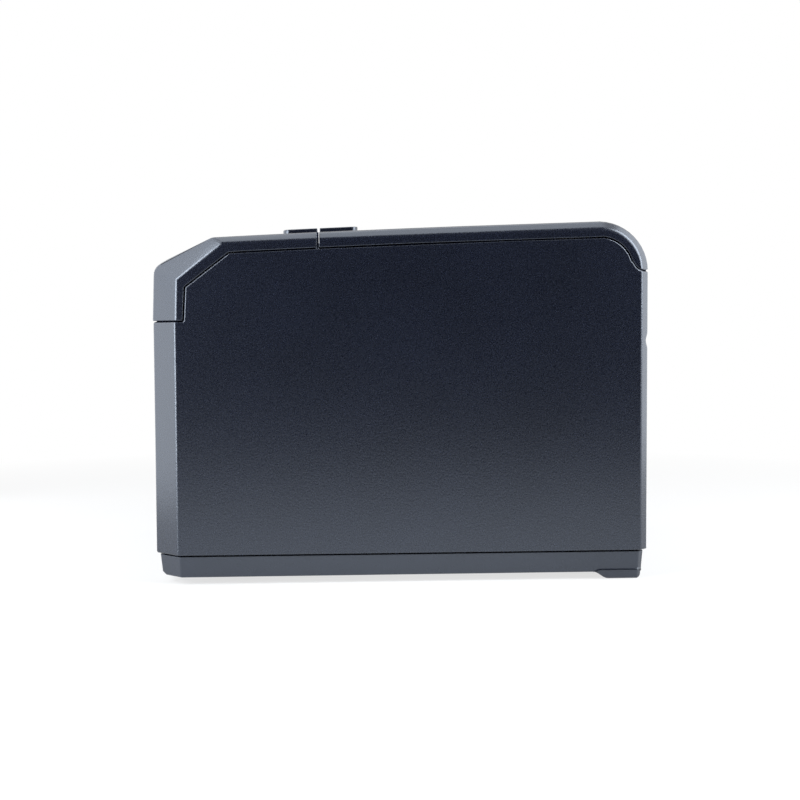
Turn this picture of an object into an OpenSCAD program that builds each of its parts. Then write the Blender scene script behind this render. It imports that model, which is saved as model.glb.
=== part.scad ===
// Desktop receipt printer for 80 mm thermal paper.
// Front faces -Y, the lid hinge is at the rear (+Y), X is the width, Z = 0 is the table.

/* [Case] */
// Width over the side panels
body_w = 145; // [140:1:150]
// Depth over the front and rear walls
body_d = 194; // [190:1:198]
// Thickness of the moulded walls
wall = 2.4; // [2:0.1:2.6]
// Width of the chamfer on the two front corners
corner_chamfer = 9; // [7:0.5:11]
// Width of the bevel along the top and rear edges
edge_bevel = 3; // [2:0.5:3.5]
// Gap of the moulding seams
seam_gap = 0.45; // [0.3:0.05:0.6]
// Height of the seam between base tray and housing
base_seam_z = 11.4; // [11:0.1:12]
// Height of the seam between housing and front cover
front_seam_z = 102.7; // [101:0.1:104]

/* [Lid] */
// Place of the gap between front cover and lid, where the paper comes out
exit_y = -32.2; // [-33:0.1:-31]
// Width of that gap
exit_gap = 1; // [0.8:0.1:1.2]
// Height of the raised rim round the paper exit
rim_h = 2.9; // [2:0.1:3.5]
// Width of the raised rim
rim_w = 101; // [98:1:104]

/* [Paper] */
// Width of the paper roll bay
bay_w = 83; // [82:0.5:84]
// Radius of the paper roll bay
bay_r = 43; // [42:0.5:43]

/* [Platen] */
// Radius of the rubber roller
platen_r = 6.5; // [6:0.1:6.6]
// Length of the rubber roller
platen_l = 82; // [80:1:83]
// Radius of the roller's steel shaft
shaft_r = 2.5; // [2:0.1:2.6]
// Teeth of the platen gear
platen_teeth = 24; // [20:1:26]
// Teeth of the idler gear
idler_teeth = 30; // [26:1:32]
// Teeth of the motor pinion
pinion_teeth = 12; // [12:1:14]
// Module of the feed gears
feed_module = 0.7; // [0.65:0.05:0.7]

/* [Cutter] */
// Travel of the moving blade
cut_travel = 7; // [5:0.5:7]
// Module of the cutter gears
cut_module = 0.5; // [0.5:0.1:0.5]

/* [Hidden] */

case_color = [0.13, 0.14, 0.18];
inner_color = [0.2, 0.21, 0.23];
steel_color = [0.72, 0.73, 0.75];
rubber_color = [0.08, 0.08, 0.09];
gear_color = [0.9, 0.9, 0.86];

half_w = body_w / 2;
front_y = -body_d / 2;
rear_y = body_d / 2;
past = 1;

// How far the skirt of the front cover stands before the front wall
cover_lead = 0.25;
// Side view of the case, given as [y, z]
crown_end = [rear_y - 20, 140.89];
crown_slope = 0.026;
crown_radius = 5705;
rear_corner = [rear_y - 19.5, 121.5];
rear_corner_r = 19.5;
front_corner = [front_y + 5.55, 120.73];
front_corner_r = 5;
slope_angle = 26.2;
slope_top_y = front_y + 23.2;
hinge = [rear_y - 2, 126.2];
lobe_r = 4.3;
rear_lip_z = 122.2;

// Height of the gently crowned top at depth y
function top_z(y) = crown_end[1] - crown_slope * (crown_end[0] - y)
    - pow(crown_end[0] - y, 2) / (2 * crown_radius);
function arc(centre, r, from, to, steps) =
    [for (i = [0 : steps]) let (a = from + (to - from) * i / steps) centre + r * [cos(a), sin(a)]];
function crown(from, to, steps, drop) =
    [for (i = [0 : steps]) let (y = from + (to - from) * i / steps) [y, top_z(y) - drop]];

// Seam between housing and cap, g above its middle line
function seam(g) = concat(
    [[front_y - past, front_seam_z + g], [-84.2 - g, front_seam_z + g], [-83.5 - g, 115.8 + 0.4 * g],
     [-66.5 - 0.4 * g, 128.9 + 0.8 * g]],
    crown(-63, crown_end[0], 8, 6.4 - g),
    arc(rear_corner, 13.2 + g, 84, 16, 8),
    arc([hinge[0] + 0.2, hinge[1]], 4.5 - g, 199, 264, 5),
    [[rear_y + past, hinge[1] - 4.6 + g]]);

// Turns a side view drawn as [y, z] into a solid from x0 to x1
module along_x(x0, x1) {
    translate([x0, 0, 0]) rotate([90, 0, 90]) linear_extrude(x1 - x0) children();
}

module rod_x(x0, x1, at, r) {
    translate([x0, at[0], at[1]]) rotate([0, 90, 0]) cylinder(h = x1 - x0, r = r, $fn = 64);
}

module block(from, to) {
    translate(from) cube(to - from);
}

// A pair, one on each side of the middle
module both_sides() {
    children();
    mirror([1, 0, 0]) children();
}

// Plan of the case, drawn in by t
module plan(t = 0) {
    k = tan(22.5);
    side = half_w - t;
    front_x = half_w - corner_chamfer - k * t;
    front_wall_y = front_y + cover_lead + t;
    front_side_y = front_y + corner_chamfer + 0.5 + k * t;
    rear_x = half_w - edge_bevel - k * t;
    rear_side_y = rear_y - edge_bevel - k * t;
    polygon([[side, front_side_y], [front_x, front_wall_y], [-front_x, front_wall_y],
        [-side, front_side_y], [-side, rear_side_y], [-rear_x, rear_y - t], [rear_x, rear_y - t],
        [side, rear_side_y]]);
}

// The cap that covers the front and the top, drawn in by t, before it is cut at its seams
module cap(t = 0) {
    low = 96;
    rear_wall_y = rear_corner[0] + rear_corner_r - t;
    hull() {
        along_x(-(half_w - corner_chamfer - 0.4 * t), half_w - corner_chamfer - 0.4 * t)
            polygon(concat([[0, low], [front_y + t, low], [front_y + t, 104]],
                arc(front_corner, front_corner_r - t, 180, 90 + slope_angle, 5),
                [[slope_top_y + 0.4 * t, top_z(slope_top_y) - t]]));
        along_x(-(half_w - edge_bevel - 0.4 * t), half_w - edge_bevel - 0.4 * t)
            polygon(concat([[rear_wall_y, low]], arc(rear_corner, rear_corner_r - t, 0, 88.5, 12),
                crown(crown_end[0], slope_top_y + 1 + 0.4 * t, 8, t)));
        along_x(-(half_w - t), half_w - t)
            polygon(concat([[rear_y - edge_bevel - 0.4 * t, low]],
                arc(rear_corner, rear_corner_r - edge_bevel - 0.4 * t, 0, 88.5, 12),
                crown(crown_end[0], -62, 6, edge_bevel + 0.4 * t),
                [[-68.7 + 0.3 * t, 132.6 - 0.5 * t], [-86.5 + 0.6 * t, 118.7 - 0.4 * t],
                 [-87.4 + 0.6 * t, low]]));
    }
}

// What stays of the cap above its seam, for the front or the rear half
module above_seam(y0, y1) {
    intersection() {
        along_x(-half_w - past, half_w + past) difference() {
            translate([y0, 90]) square([y1 - y0, 60]);
            polygon(concat(seam(seam_gap / 2), [[rear_y + past, 0], [front_y - past, 0]]));
        }
        children();
    }
}

// Raised rim round the paper exit, between y0 and y1
rim_from = exit_y - 14.2;
rim_to = exit_y + 15.7;
rim_corner_r = 3;
module rim(y0, y1) {
    intersection() {
        translate([0, 0, 130]) linear_extrude(20) hull() {
            for (x = [-1, 1], y = [rim_from + rim_corner_r, rim_to - rim_corner_r])
                translate([x * (rim_w / 2 - rim_corner_r), y]) circle(r = rim_corner_r, $fn = 32);
        }
        along_x(-rim_w, rim_w)
            polygon(concat(crown(y1, y0, 3, wall / 2), crown(y0, y1, 3, -rim_h)));
    }
}

// Involute gear outline, thinned by slack at the pitch line
pressure_angle = 20;
function flank_turn(base_r, r) = let (a = acos(min(1, base_r / r))) tan(a) * 180 / PI - a;
function tooth_half(teeth, m, slack, r) =
    let (pitch_r = teeth * m / 2, base_r = pitch_r * cos(pressure_angle))
    90 / teeth - slack / pitch_r * 90 / PI + flank_turn(base_r, pitch_r)
        - flank_turn(base_r, max(r, base_r));
function polar(r, a) = [r * cos(a), r * sin(a)];
function gear_radii(teeth, m) =
    let (pitch_r = teeth * m / 2, root = pitch_r - 1.1 * m, tip = pitch_r + 0.8 * m,
        low = max(root, pitch_r * cos(pressure_angle)))
    concat([root], [for (i = [0 : 3]) low + (tip - low) * i / 3]);
function gear_points(teeth, m, slack) = let (radii = gear_radii(teeth, m)) [
    for (n = [0 : teeth - 1], side = [-1, 1], i = [0 : 4])
        let (r = radii[side < 0 ? i : 4 - i])
        polar(r, 360 * n / teeth + side * tooth_half(teeth, m, slack, r))];
module gear(teeth, m, slack = 0.12) {
    polygon(gear_points(teeth, m, slack));
}
// Turn of a second gear that meshes with the first along the direction line
function mesh_turn(line, turn, teeth, next_teeth) =
    line + 180 - (0.5 - (line - turn) * teeth / 360) * 360 / next_teeth;

// Round wire of a coil spring along +Z, as one swept tube
module coil(r, wire_r, length, turns) {
    sides = 6;
    steps = 10;
    rings = turns * steps;
    points = [for (i = [0 : rings], s = [0 : sides - 1])
        let (a = 360 * i / steps, b = 360 * s / sides, ring_r = r + wire_r * cos(b))
        [ring_r * cos(a), ring_r * sin(a), wire_r + (length - 2 * wire_r) * i / rings + wire_r * sin(b)]];
    walls = [for (i = [0 : rings - 1], s = [0 : sides - 1]) let (n = (s + 1) % sides)
        each [[i * sides + s, (i + 1) * sides + s, i * sides + n],
              [i * sides + n, (i + 1) * sides + s, (i + 1) * sides + n]]];
    ends = [for (s = [1 : sides - 2]) each [[0, s, s + 1],
        [rings * sides, rings * sides + s + 1, rings * sides + s]]];
    polyhedron(points, concat(walls, ends));
}

// Places of the inner parts, as [y, z]
platen = [-24.5, 119.5];
idler = [platen[0], platen[1] - feed_module * (platen_teeth + idler_teeth) / 2 - 0.05];
motor_line = 255;
feed_motor_at = idler + polar(feed_module * (idler_teeth + pinion_teeth) / 2 + 0.05, motor_line);
roll = [rear_y - 54.5, 88];
latch_pivot = [-40.6, 108];
cheek_x = 42.5;
plate_x = 47.5;
plate_t = 1.5;
shaft_end_x = 51.6;
gear_x = 52.5;
gear_w = 4;
run_gap = 0.05;

// Base tray: floor, tapered rim, lap tongue and the two foot blocks at the rear
base_floor_z = 2.9;
foot_inner_x = 42;
foot_bottom_z = 0.2;
base_top_in = 1.4;
base_bottom_in = 2.1;
front_foot_at = [48, -66];
rear_pad_at = [56, rear_y - 10.5];
case_screw_x = 54;
case_screw_y = [-80, 84];
screw_seat_z = 4.3;
board_screw_x = 43;
board_screw_y = [-14, 80];
// Tapered block with the plan of the case; its front edge rises by rise at the bottom
module base_shape(top_in, bottom_in, z0, z1, rise = 0) {
    hull() {
        translate([0, 0, z1 - 0.1]) linear_extrude(0.1) plan(top_in);
        translate([0, 0, z0 + rise]) linear_extrude(0.1) plan(bottom_in);
        translate([0, 0, z0]) linear_extrude(0.1) intersection() {
            plan(bottom_in);
            translate([-half_w, front_y + bottom_in + 1.6 * rise]) square([body_w, body_d]);
        }
    }
}
module base_foot() {
    intersection() {
        along_x(foot_inner_x, half_w)
            polygon(concat([[rear_y - 19, base_floor_z + 1]],
                [for (i = [0 : 6]) let (s = i / 6) [rear_y - 21.5 + 6 * s,
                    foot_bottom_z + (base_floor_z - foot_bottom_z) * (1 + cos(180 * s)) / 2]],
                arc([rear_y - 3.9, foot_bottom_z + 1.6], 1.6, 270, 360, 4),
                [[rear_y - 2.2, base_floor_z + 1]]));
        base_shape(base_top_in, base_bottom_in + 0.2, foot_bottom_z - 0.1, base_seam_z - 0.3);
    }
}
module base_tray() {
    rim_z = base_seam_z - 0.3;
    color(case_color) {
        difference() {
            base_shape(base_top_in, base_bottom_in, base_floor_z, rim_z, 1.2);
            base_shape(base_top_in + wall, base_bottom_in + wall, base_floor_z + 2.4, rim_z + 1);
            for (x = [-case_screw_x, case_screw_x], y = case_screw_y) translate([x, y, -1]) {
                cylinder(h = 10, r = 1.7, $fn = 32);
                cylinder(h = screw_seat_z + 1, r = 3.1, $fn = 32);
            }
            both_sides() translate([front_foot_at[0], front_foot_at[1], base_floor_z - 1])
                cylinder(h = 1.8, r = 7.1, $fn = 48);
            for (i = [0 : 8], x = [-1, 1])
                block([x * 20 - 12, -40 + i * 6, 0], [x * 20 + 12, -37.5 + i * 6, 10]);
        }
        translate([0, 0, rim_z - 3]) linear_extrude(5.6) difference() {
            plan(2.75);
            plan(3.95);
        }
        both_sides() difference() {
            base_foot();
            translate([rear_pad_at[0], rear_pad_at[1], -1]) cylinder(h = 1.8, r = 4.2, $fn = 48);
            translate([case_screw_x, case_screw_y[1], -1]) cylinder(h = 10, r = 3.1, $fn = 32);
        }
        for (x = [-case_screw_x, case_screw_x], y = case_screw_y) translate([x, y, base_floor_z + 2])
            difference() {
                cylinder(h = 4.9, r = 4, $fn = 32);
                translate([0, 0, -1]) cylinder(h = 7, r = 1.7, $fn = 32);
            }
        for (x = [-board_screw_x, board_screw_x], y = board_screw_y) translate([x, y, base_floor_z + 2])
            difference() {
                cylinder(h = board_top - 1.6 - base_floor_z - 2, r = 3.4, $fn = 32);
                translate([0, 0, 4]) cylinder(h = 12, r = 1.25, $fn = 32);
            }
    }
}

// Front feet: rubber discs in shallow pockets; rear pads under the foot blocks
module front_feet() {
    color(rubber_color) both_sides() translate([front_foot_at[0], front_foot_at[1], 0]) {
        cylinder(h = 0.8, r1 = 6, r2 = 6.8, $fn = 48);
        translate([0, 0, 0.8]) cylinder(h = base_floor_z, r = 6.8, $fn = 48);
    }
}
module rear_pads() {
    color(rubber_color) both_sides()
        translate([rear_pad_at[0], rear_pad_at[1], 0]) cylinder(h = 0.8, r = 4, $fn = 48);
}

// Main housing: side panels, front and rear walls
ear_from = 62.5;
ear_to = 67.6;
ear_r = 3.6;
pin_r = 1;
knuckle_x = 59.6;
pin_end = 69.3;
board_top = 21.1;
socket_gap = 0.4;
power_in = [-32, 14, 12.4];
usb_in = [-12, 12, 10.9];
network_in = [11, 16, 13.2];
drawer_in = [33, 13, 12];
deck_z = 117;
// How far the front lap lip stands behind the wall's face
front_lap = 1.3;
module housing_walls() {
    intersection() {
        translate([0, 0, base_seam_z + 0.3]) linear_extrude(130) difference() {
            plan(0);
            plan(wall);
        }
        along_x(-half_w - past, half_w + past)
            polygon(concat(seam(-seam_gap / 2), [[rear_y + past, 0], [front_y - past, 0]]));
    }
}
module rear_groove() {
    along_x(-half_w - past, half_w + past)
        polygon([[rear_y + past, 91.4], [rear_y, 91.4], [rear_y - 0.9, 94.4], [rear_y, 97.2],
            [rear_y + past, 97.2]]);
}
module rear_cut(socket) {
    w = socket[1] / 2 + socket_gap;
    block([socket[0] - w, rear_y - wall - past, board_top - socket_gap],
        [socket[0] + w, rear_y + past, board_top + socket[2] + socket_gap]);
}
module hinge_ear() {
    along_x(ear_from, ear_to) difference() {
        intersection() {
            union() {
                translate(hinge) circle(r = ear_r, $fn = 48);
                translate([hinge[0] - ear_r, deck_z + 2]) square([2 * ear_r, hinge[1] - deck_z - 2]);
            }
            union() {
                translate(rear_corner) circle(r = rear_corner_r - 0.4, $fn = 96);
                square([rear_y - 0.3, hinge[1] - 4]);
            }
        }
        translate(hinge) circle(r = pin_r + run_gap, $fn = 48);
    }
}
module main_housing() {
    color(case_color) {
        difference() {
            housing_walls();
            rear_groove();
            for (socket = [power_in, usb_in, network_in, drawer_in]) rear_cut(socket);
            block([-half_w - past, switch_at[0] - switch_half[0] - 0.2, switch_at[1] - switch_half[1] - 0.2],
                [-half_w + wall + past, switch_at[0] + switch_half[0] + 0.2,
                    switch_at[1] + switch_half[1] + 0.2]);
        }
        both_sides() hinge_ear();
        both_sides() for (y = case_screw_y) translate([case_screw_x, y, base_floor_z + 7.3])
            difference() {
                union() {
                    cylinder(h = 40, r = 4, $fn = 32);
                    block([-1, y > 0 ? 0 : -15, 4], [1, y > 0 ? 11 : 0, 40]);
                }
                translate([0, 0, -1]) cylinder(h = 20, r = 1.25, $fn = 32);
            }
        // Lap lips that the cap closes over, at the front seam and along the side panels
        intersection() {
            translate([0, 0, front_seam_z - 2.4]) linear_extrude(4.9) difference() {
                plan(front_lap);
                plan(wall);
            }
            block([-half_w, front_y, 90], [half_w, -86.2, 120]);
        }
        both_sides() along_x(half_w - wall - 1.2, half_w - wall)
            polygon([[-60, 120], [-60, top_z(-60) - 4.4], [60, top_z(60) - 4.4], [60, 120]]);
    }
}

// Front cover: the cap from the front seam to the paper exit
mouth_w = 83;
mouth_d = 5;
button_at = [60, -50];
button_size = [13, 18];
feed_at = [34, 0];
light_pipe_x = [6, 13, 20];
slope_mid = [-83.4, 130.3];
module on_slope(x, along = 0) {
    translate([x, slope_mid[0] + along * cos(slope_angle), slope_mid[1] + along * sin(slope_angle)])
        rotate([slope_angle, 0, 0]) children();
}
module rounded_plate(size, r, h) {
    linear_extrude(h) hull() for (x = [-1, 1], y = [-1, 1])
        translate([x * (size[0] / 2 - r), y * (size[1] / 2 - r)]) circle(r = r, $fn = 32);
}
module front_cover() {
    cover_end = exit_y - exit_gap / 2;
    // Room for the housing's lap lip behind the skirt
    lap_room = [[-half_w, front_y, front_seam_z - 1], [half_w, -85.8, front_seam_z + 2.8]];
    color(case_color) difference() {
        union() {
            above_seam(front_y - past, cover_end) difference() {
                cap();
                cap(wall);
            }
            rim(rim_from, cover_end);
        }
        intersection() {
            linear_extrude(120) plan(front_lap - 0.25);
            block(lap_room[0], lap_room[1]);
        }
        block([-mouth_w / 2, cover_end - mouth_d + exit_gap, 120], [mouth_w / 2, 0, 160]);
        translate([button_at[0], button_at[1], 125])
            rounded_plate(button_size + [0.7, 0.7], 2.4, 30);
        on_slope(feed_at[0]) translate([0, 0, -8]) rounded_plate([16.6, 8.6], 4.2, 16);
        for (x = light_pipe_x) on_slope(x) translate([0, 0, -8]) cylinder(h = 16, r = 1.5, $fn = 32);
    }
    // Hook tabs that reach down behind the housing walls
    color(case_color) both_sides() {
        block([20, front_y + cover_lead + wall + 0.2, 96], [34, front_y + wall + 1.8, 107]);
        block([20, front_y + wall - 0.3, 105.9], [34, front_y + wall + 1.8, 112]);
    }
}

// Paper lid: the cap from the paper exit to the hinge
module paper_lid() {
    lid_start = exit_y + exit_gap / 2;
    rib_h = 2.6;
    color(case_color) difference() {
        union() {
            above_seam(lid_start, rear_y + past) difference() {
                cap();
                cap(wall);
            }
            rim(lid_start, rim_to);
            // Stiffening ribs across the inside
            for (y = [-2, 18, 38, 58]) along_x(-half_w + 4.2, half_w - 4.2)
                translate([y, top_z(y) - wall - rib_h]) square([1.6, rib_h + 0.2]);
            both_sides() {
                intersection() {
                    union() {
                        rod_x(half_w - 4.4, half_w + past, hinge, lobe_r);
                        rod_x(knuckle_x, ear_from, hinge, ear_r - 0.2);
                    }
                    cap();
                }
                along_x(34, 35.8)
                    polygon(concat(crown(60, 6, 4, wall + rib_h), crown(6, 60, 4, wall - 0.2)));
            }
        }
        // Room for the hinge ears, and the lip cut back to its sweep
        both_sides()
            block([ear_from - 0.6, hinge[0] - 6, 100], [ear_to + 0.5, rear_y + past, hinge[1] + 5.2]);
        block([-half_w + wall, hinge[0] - 10, 100], [half_w - wall, rear_y + past, rear_lip_z]);
        both_sides() rod_x(knuckle_x + 0.6, pin_end + 0.2, hinge, pin_r);
    }
    // Bosses that the inner frame is screwed to
    color(case_color) both_sides()
        translate([lid_screw_at[0], lid_screw_at[1], frame_top_z]) difference() {
            cylinder(h = top_z(lid_screw_at[1]) - wall / 2 - frame_top_z, r = 3.2, $fn = 32);
            translate([0, 0, -1]) cylinder(h = 3.4, r = 1.2, $fn = 32);
        }
}
module hinge_pins() {
    color(steel_color) both_sides() rod_x(knuckle_x + 0.7, pin_end, hinge, pin_r);
}

// Inner frame of the lid: a plate under the top with two cheeks that carry the roller
bush_r = 4;
blade_seat_z = 128.8;
frame_top_z = 133.2;
frame_end_y = -3.4;
lid_screw_at = [30, -8];
module lid_inner_frame() {
    color(inner_color) {
        both_sides() along_x(cheek_x, cheek_x + 3) difference() {
            union() {
                translate(platen) circle(r = 6, $fn = 64);
                polygon([platen + [-6, 0], [platen[0] - 4.4, blade_seat_z], [platen[0] + 4.7, blade_seat_z],
                    [platen[0] + 5, frame_top_z], [frame_end_y, frame_top_z], [frame_end_y, frame_top_z - 3],
                    platen + [12, 5], platen + [5, -3.4]]);
            }
            translate(platen) circle(r = bush_r, $fn = 64);
        }
        // Paper guide behind the roller, then the plate that joins the cheeks
        along_x(-cheek_x, cheek_x) polygon(concat(arc([platen[0], platen[1]], platen_r + 1.2, -30, 40, 6),
            arc([platen[0], platen[1]], platen_r + 2.8, 40, -30, 6)));
        difference() {
            along_x(-cheek_x, cheek_x) polygon([[platen[0] + 5.5, 123.5], [platen[0] + 7, 123.5],
                [platen[0] + 7.6, frame_top_z - 1.6], [frame_end_y, frame_top_z - 1.6],
                [frame_end_y, frame_top_z], [platen[0] + 5, frame_top_z]]);
            both_sides() translate([lid_screw_at[0], lid_screw_at[1], 120]) cylinder(h = 20, r = 1.5, $fn = 32);
        }
    }
}
module platen_roller() {
    color(rubber_color) along_x(-platen_l / 2, platen_l / 2) difference() {
        translate(platen) circle(r = platen_r, $fn = 96);
        translate(platen) circle(r = shaft_r, $fn = 64);
    }
}
module platen_shaft() {
    color(steel_color) {
        rod_x(-shaft_end_x, gear_x + gear_w + 1.2, platen, shaft_r);
        rod_x(gear_x + gear_w, gear_x + gear_w + 0.8, platen, shaft_r + 1.3);
    }
}
module platen_bushings() {
    color("goldenrod") both_sides() difference() {
        union() {
            rod_x(cheek_x, 51.2, platen, bush_r);
            rod_x(cheek_x + 3, cheek_x + 4, platen, bush_r + 1.4);
        }
        rod_x(cheek_x - 1, 52, platen, shaft_r + run_gap);
    }
}
module platen_gear() {
    color(gear_color) along_x(gear_x, gear_x + gear_w) translate(platen) difference() {
        rotate(mesh_turn(90, 90, idler_teeth, platen_teeth)) gear(platen_teeth, feed_module);
        circle(r = shaft_r, $fn = 64);
    }
}
idler_pin_r = 1.5;
module idler_gear() {
    color(gear_color) difference() {
        union() {
            along_x(gear_x + 0.3, gear_x + gear_w - 0.3) translate(idler) rotate(90)
                gear(idler_teeth, feed_module);
            rod_x(gear_x - 1, gear_x + gear_w + 0.4, idler, 3.4);
        }
        rod_x(gear_x - 3, gear_x + gear_w + 3, idler, idler_pin_r + run_gap);
        for (a = [0 : 60 : 300]) rod_x(gear_x - 3, gear_x + gear_w + 3, idler + polar(6.2, a), 1.7);
    }
}
module idler_pin() {
    color(steel_color) {
        rod_x(plate_x + plate_t, gear_x + gear_w + 1.6, idler, idler_pin_r);
        rod_x(gear_x + gear_w + 0.9, gear_x + gear_w + 1.6, idler, 2.6);
        rod_x(plate_x + plate_t, gear_x - 1.4, idler, 3);
    }
}
motor_shaft_r = 1;
module motor_pinion() {
    color("goldenrod") along_x(gear_x - 0.6, gear_x + gear_w) translate(feed_motor_at) difference() {
        rotate(mesh_turn(motor_line, 90, idler_teeth, pinion_teeth)) gear(pinion_teeth, feed_module);
        circle(r = motor_shaft_r, $fn = 48);
    }
    color(steel_color) rod_x(plate_x - 9.5, gear_x + gear_w + 0.4, feed_motor_at, motor_shaft_r);
}
motor_r = 17.5;
motor_ear = 21;
module feed_motor() {
    color(steel_color) {
        difference() {
            union() {
                rod_x(plate_x - 22, plate_x - 1, feed_motor_at, motor_r);
                along_x(plate_x - 1, plate_x) hull() for (s = [-1, 1])
                    translate(feed_motor_at + [s * motor_ear, 0]) circle(r = 4, $fn = 32);
                rod_x(plate_x, plate_x + plate_t, feed_motor_at, 4.9);
            }
            for (s = [-1, 1]) rod_x(plate_x - 3, plate_x + 3, feed_motor_at + [s * motor_ear, 0], 1.5);
            rod_x(plate_x - 10, plate_x + 3, feed_motor_at, motor_shaft_r + run_gap);
        }
        rod_x(plate_x - 24, plate_x - 22, feed_motor_at, 5);
    }
}

// Mechanism frame: two steel side plates joined by a cross wall and a floor
cross_y = -46;
cutter_z = 130;
module side_plate_outline() {
    difference() {
        polygon([[-58, 84], [-52, 66], [-14, 66], [-9, 72], [-9, 108], [-14.5, 118], [-17, 125.6],
            [-20.1, 126.6], [-29, 126.6], [-34, 124], [-52, 124], [-58, 118]]);
        // Open slot that the roller's bushing drops into
        translate(platen) circle(r = bush_r + 0.3, $fn = 64);
        polygon([platen + [-bush_r - 0.3, 0], platen + [-bush_r - 1.1, 12],
            platen + [bush_r + 1.6, 12], platen + [bush_r + 0.3, 0]]);
        translate([-50, 98]) circle(r = 1.6, $fn = 32);
        translate([-50, 76]) circle(r = 1.6, $fn = 32);
        translate(latch_pivot) circle(r = latch_shaft_r + run_gap, $fn = 48);
    }
}
module mechanism_frame() {
    color(steel_color) {
        along_x(-plate_x - plate_t, -plate_x) side_plate_outline();
        along_x(plate_x, plate_x + plate_t) difference() {
            side_plate_outline();
            translate(feed_motor_at) circle(r = 5, $fn = 48);
            for (s = [-1, 1]) translate(feed_motor_at + [s * motor_ear, 0]) circle(r = 1.5, $fn = 32);
        }
        // Cross wall behind the head springs, with lightening windows
        difference() {
            block([-plate_x, cross_y - 1.2, 100], [plate_x, cross_y, 121.2]);
            for (x = [-26, 0, 26]) block([x - 8, cross_y - 2, 101.5], [x + 8, cross_y + 1, 108]);
        }
        block([-plate_x, -57, 83], [6, cross_y, 84.2]);
        block([-plate_x, -17, 66], [plate_x, -12, 67.2]);
        // Feet flanges bent outward for the fixing screws
        both_sides() difference() {
            block([plate_x + plate_t, -50, 66], [plate_x + 11, -16, 67.2]);
            for (y = [-44, -22]) translate([plate_x + 6.4, y, 60]) cylinder(h = 10, r = 1.6, $fn = 32);
        }
    }
}

// Thermal print head: ceramic strip on an aluminium heat sink, pushed by coil springs
head_face_y = platen[0] - platen_r - 0.35;
sink_t = 5;
head_half_w = 41.5;
head_top_z = 124;
head_spring_x = [-24, 0, 24];
head_spring_z = 116.2;
module thermal_head() {
    color([0.9, 0.88, 0.84]) difference() {
        block([-head_half_w, head_face_y - 1, 106], [head_half_w, head_face_y, head_top_z]);
        block([-head_half_w - past, head_face_y - 0.3, 105],
            [head_half_w + past, head_face_y + 1, 111.6]);
    }
    color([0.12, 0.1, 0.1]) block([-39, head_face_y - 0.3, 106.8], [39, head_face_y + 0.1, 111]);
}
module head_heat_sink() {
    back = head_face_y - 1 - sink_t;
    color([0.8, 0.81, 0.83]) difference() {
        block([-head_half_w, back, 104], [head_half_w, head_face_y - 1, head_top_z]);
        for (i = [0 : 4]) block([-head_half_w - past, back - past, 105.6 + i * 3.7],
            [head_half_w + past, back + 2.6, 107.2 + i * 3.7]);
        for (x = head_spring_x) translate([x, back - past, head_spring_z]) rotate([-90, 0, 0])
            cylinder(h = past + 2.2, r = 3.1, $fn = 32);
    }
}
module head_springs() {
    back = head_face_y - 1 - sink_t + 2.2;
    color(steel_color) for (x = head_spring_x) translate([x, cross_y, head_spring_z]) rotate([-90, 0, 0])
        coil(2.2, 0.35, back - cross_y, 6);
}
module head_ribbon() {
    color([0.75, 0.6, 0.35]) along_x(-9, 19) {
        path = [[head_face_y - 0.2, 105.6], [head_face_y - 0.2, 100], [-42, 96], [-58.6, 92],
            [-60.4, 80], [-60.4, 40], [-54, 30], [-34, 25.2], [-18.8, 24.6]];
        for (i = [0 : len(path) - 2]) hull() for (j = [0, 1])
            translate(path[i + j]) circle(r = 0.15, $fn = 8);
    }
}

// Cutter: stamped frame, sliding blade with a rack, gear pair and motor
blade_x = 44;
blade_edge = exit_y - 1.4;
rack_x = -20;
drive_teeth = 14;
rack_module = 0.6;
drive_r = drive_teeth * rack_module / 2;
drive_at = [rack_x - drive_r, -49];
wheel_teeth = 36;
wheel_pinion_teeth = 12;
wheel_z = 123.2;
drive_shaft_r = 1.5;
cutter_motor_r = 12;
cutter_screw_x = [20, 36];
cutter_screw_y = [-62, -50];
cutter_motor_at = drive_at - [0, cut_module * (wheel_teeth + wheel_pinion_teeth) / 2 + 0.05];
module cutter_frame() {
    color(steel_color) difference() {
        union() {
            block([-plate_x + 0.3, -70, cutter_z - 1.4], [plate_x - 0.3, blade_edge - 0.4, cutter_z - 0.2]);
            both_sides() block([plate_x - 1.5, -70, 122.4], [plate_x - 0.3, blade_edge - 0.4, cutter_z - 0.2]);
            // Guides that hold the blade down on both sides
            both_sides() {
                block([blade_x + 0.3, -66, cutter_z - 0.2], [plate_x - 0.3, blade_edge - 2, cutter_z + 1.2]);
                block([blade_x - 2, -66, cutter_z + 1.2], [plate_x - 0.3, -42, cutter_z + 2]);
            }
            block([drive_at[0] - 17, -74, 121.6], [drive_at[0] + 17, -39.4, 122.8]);
            for (s = [-1, 1]) translate([drive_at[0] + s * 14.6, -56, 122.8])
                cylinder(h = cutter_z - 1.4 - 122.8, r = 2.2, $fn = 32);
        }
        translate([drive_at[0], drive_at[1], 100]) cylinder(h = 40, r = drive_shaft_r + run_gap, $fn = 48);
        translate([cutter_motor_at[0], cutter_motor_at[1], 100]) cylinder(h = 24, r = 4.2, $fn = 48);
        for (x = cutter_screw_x, y = cutter_screw_y) translate([x, y, 120])
            cylinder(h = 20, r = 3.4, $fn = 48);
    }
}
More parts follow.
